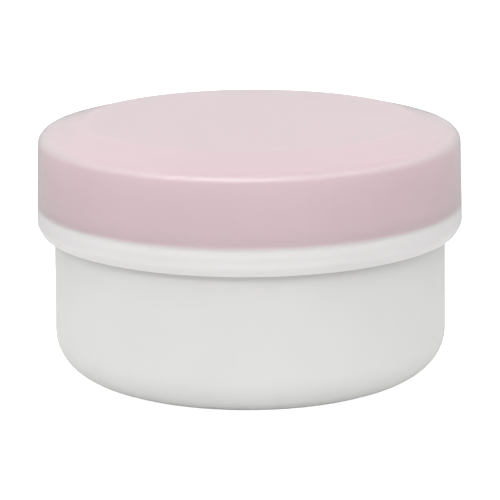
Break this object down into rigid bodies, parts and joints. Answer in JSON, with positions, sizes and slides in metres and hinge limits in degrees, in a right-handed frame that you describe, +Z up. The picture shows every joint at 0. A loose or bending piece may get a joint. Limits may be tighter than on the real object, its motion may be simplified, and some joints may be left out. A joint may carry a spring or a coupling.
{
  "type": "screw-lid cream jar",
  "caption": "Low round double-walled cream jar with rounded base, threaded neck, drop-in sealing disc and two-layer screw lid with an overhanging skirt.",
  "frame": {"origin": "centre of the base, on the surface that the jar stands on", "axes": "+Z up along the turning axis of jar and lid; +X and +Y are any two directions square to it"},
  "size_m": [0.0608, 0.0608, 0.036],
  "materials": {
    "jar_white": "satin white moulded polypropylene",
    "cup_white": "smooth white moulded polypropylene",
    "disc_natural": "soft natural-white polyethylene, matt",
    "liner_foam": "matt white polyethylene foam",
    "cap_pink": "dusty pink moulded polypropylene",
    "shell_milky": "glossy milky translucent plastic over the pink cap"
  },
  "bodies": {
    "jar": {"jar_outer_shell": "jar_white", "jar_inner_cup": "cup_white"},
    "disc": {"sealing_disc": "disc_natural"},
    "liner": {"lid_liner": "liner_foam"},
    "lid": {"lid_inner_cap": "cap_pink", "lid_outer_shell": "shell_milky"}
  },
  "joints": [
    {"name": "lid_lift", "type": "slide", "parent": "jar", "child": "disc", "axis": [0, 0, 1], "range_m": [0, 0.06]},
    {"name": "lid_rise", "type": "slide", "parent": "disc", "child": "liner", "axis": [0, 0, 1], "range_m": [0, 0.003]},
    {"name": "lid_turn", "type": "hinge", "parent": "liner", "child": "lid", "pos_m": [0, 0, 0.027], "axis": [0, 0, 1], "range_deg": [0, 360]}
  ],
  "couplings": [
    {"joint": "lid_rise", "follows": "lid_turn", "m_per_rad": 0.00047746}
  ]
}
